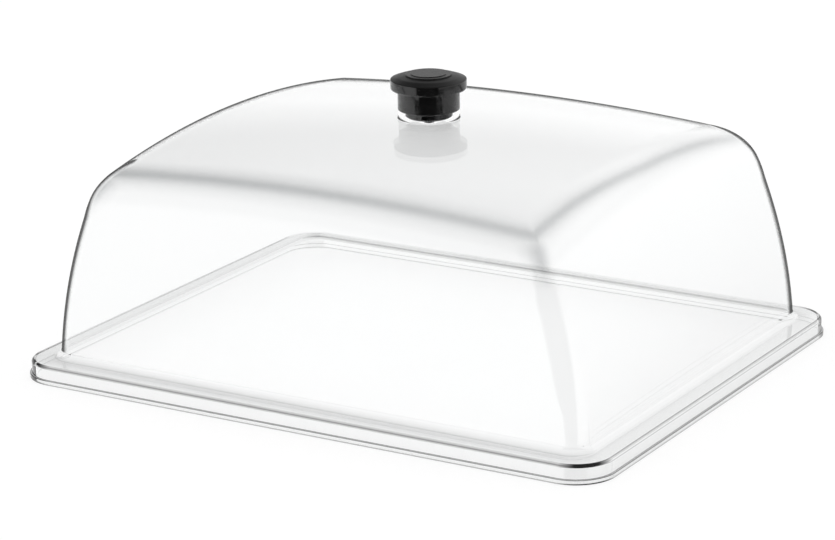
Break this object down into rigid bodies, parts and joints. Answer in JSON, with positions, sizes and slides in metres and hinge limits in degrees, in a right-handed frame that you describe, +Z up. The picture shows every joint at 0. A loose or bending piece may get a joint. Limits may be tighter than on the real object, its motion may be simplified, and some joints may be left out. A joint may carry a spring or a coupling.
{
  "type": "tray cover",
  "caption": "Clear domed rectangular tray cover with bowed walls, a flanged skirt and rolled lip that go over a tray's rim, and a round black knob screwed to a collar on the roof.",
  "frame": {"origin": "centre of the cover's footprint, on the surface that the lip stands on", "axes": "+X along the long side, +Y along the short side, +Z up through the knob"},
  "size_m": [0.335, 0.275, 0.1498],
  "materials": {
    "clear_moulding": "polished clear polycarbonate",
    "black_knob": "gloss black moulded plastic",
    "black_cap": "black moulded plastic, finely grained medallion",
    "brass_insert": "turned",
    "steel_screw": "plain stainless",
    "clear_gasket": "clear silicone"
  },
  "bodies": {
    "cover": {"cover_dome": "clear_moulding", "neck_gasket": "clear_gasket"},
    "knob": {"knob_body": "black_knob", "knob_cap": "black_cap", "knob_insert": "brass_insert", "fixing_screw": "steel_screw"}
  },
  "joints": [
    {"name": "knob_swivel", "type": "hinge", "parent": "cover", "child": "knob", "pos_m": [0, 0, 0.1311], "axis": [0, 0, 1], "continuous": true}
  ]
}
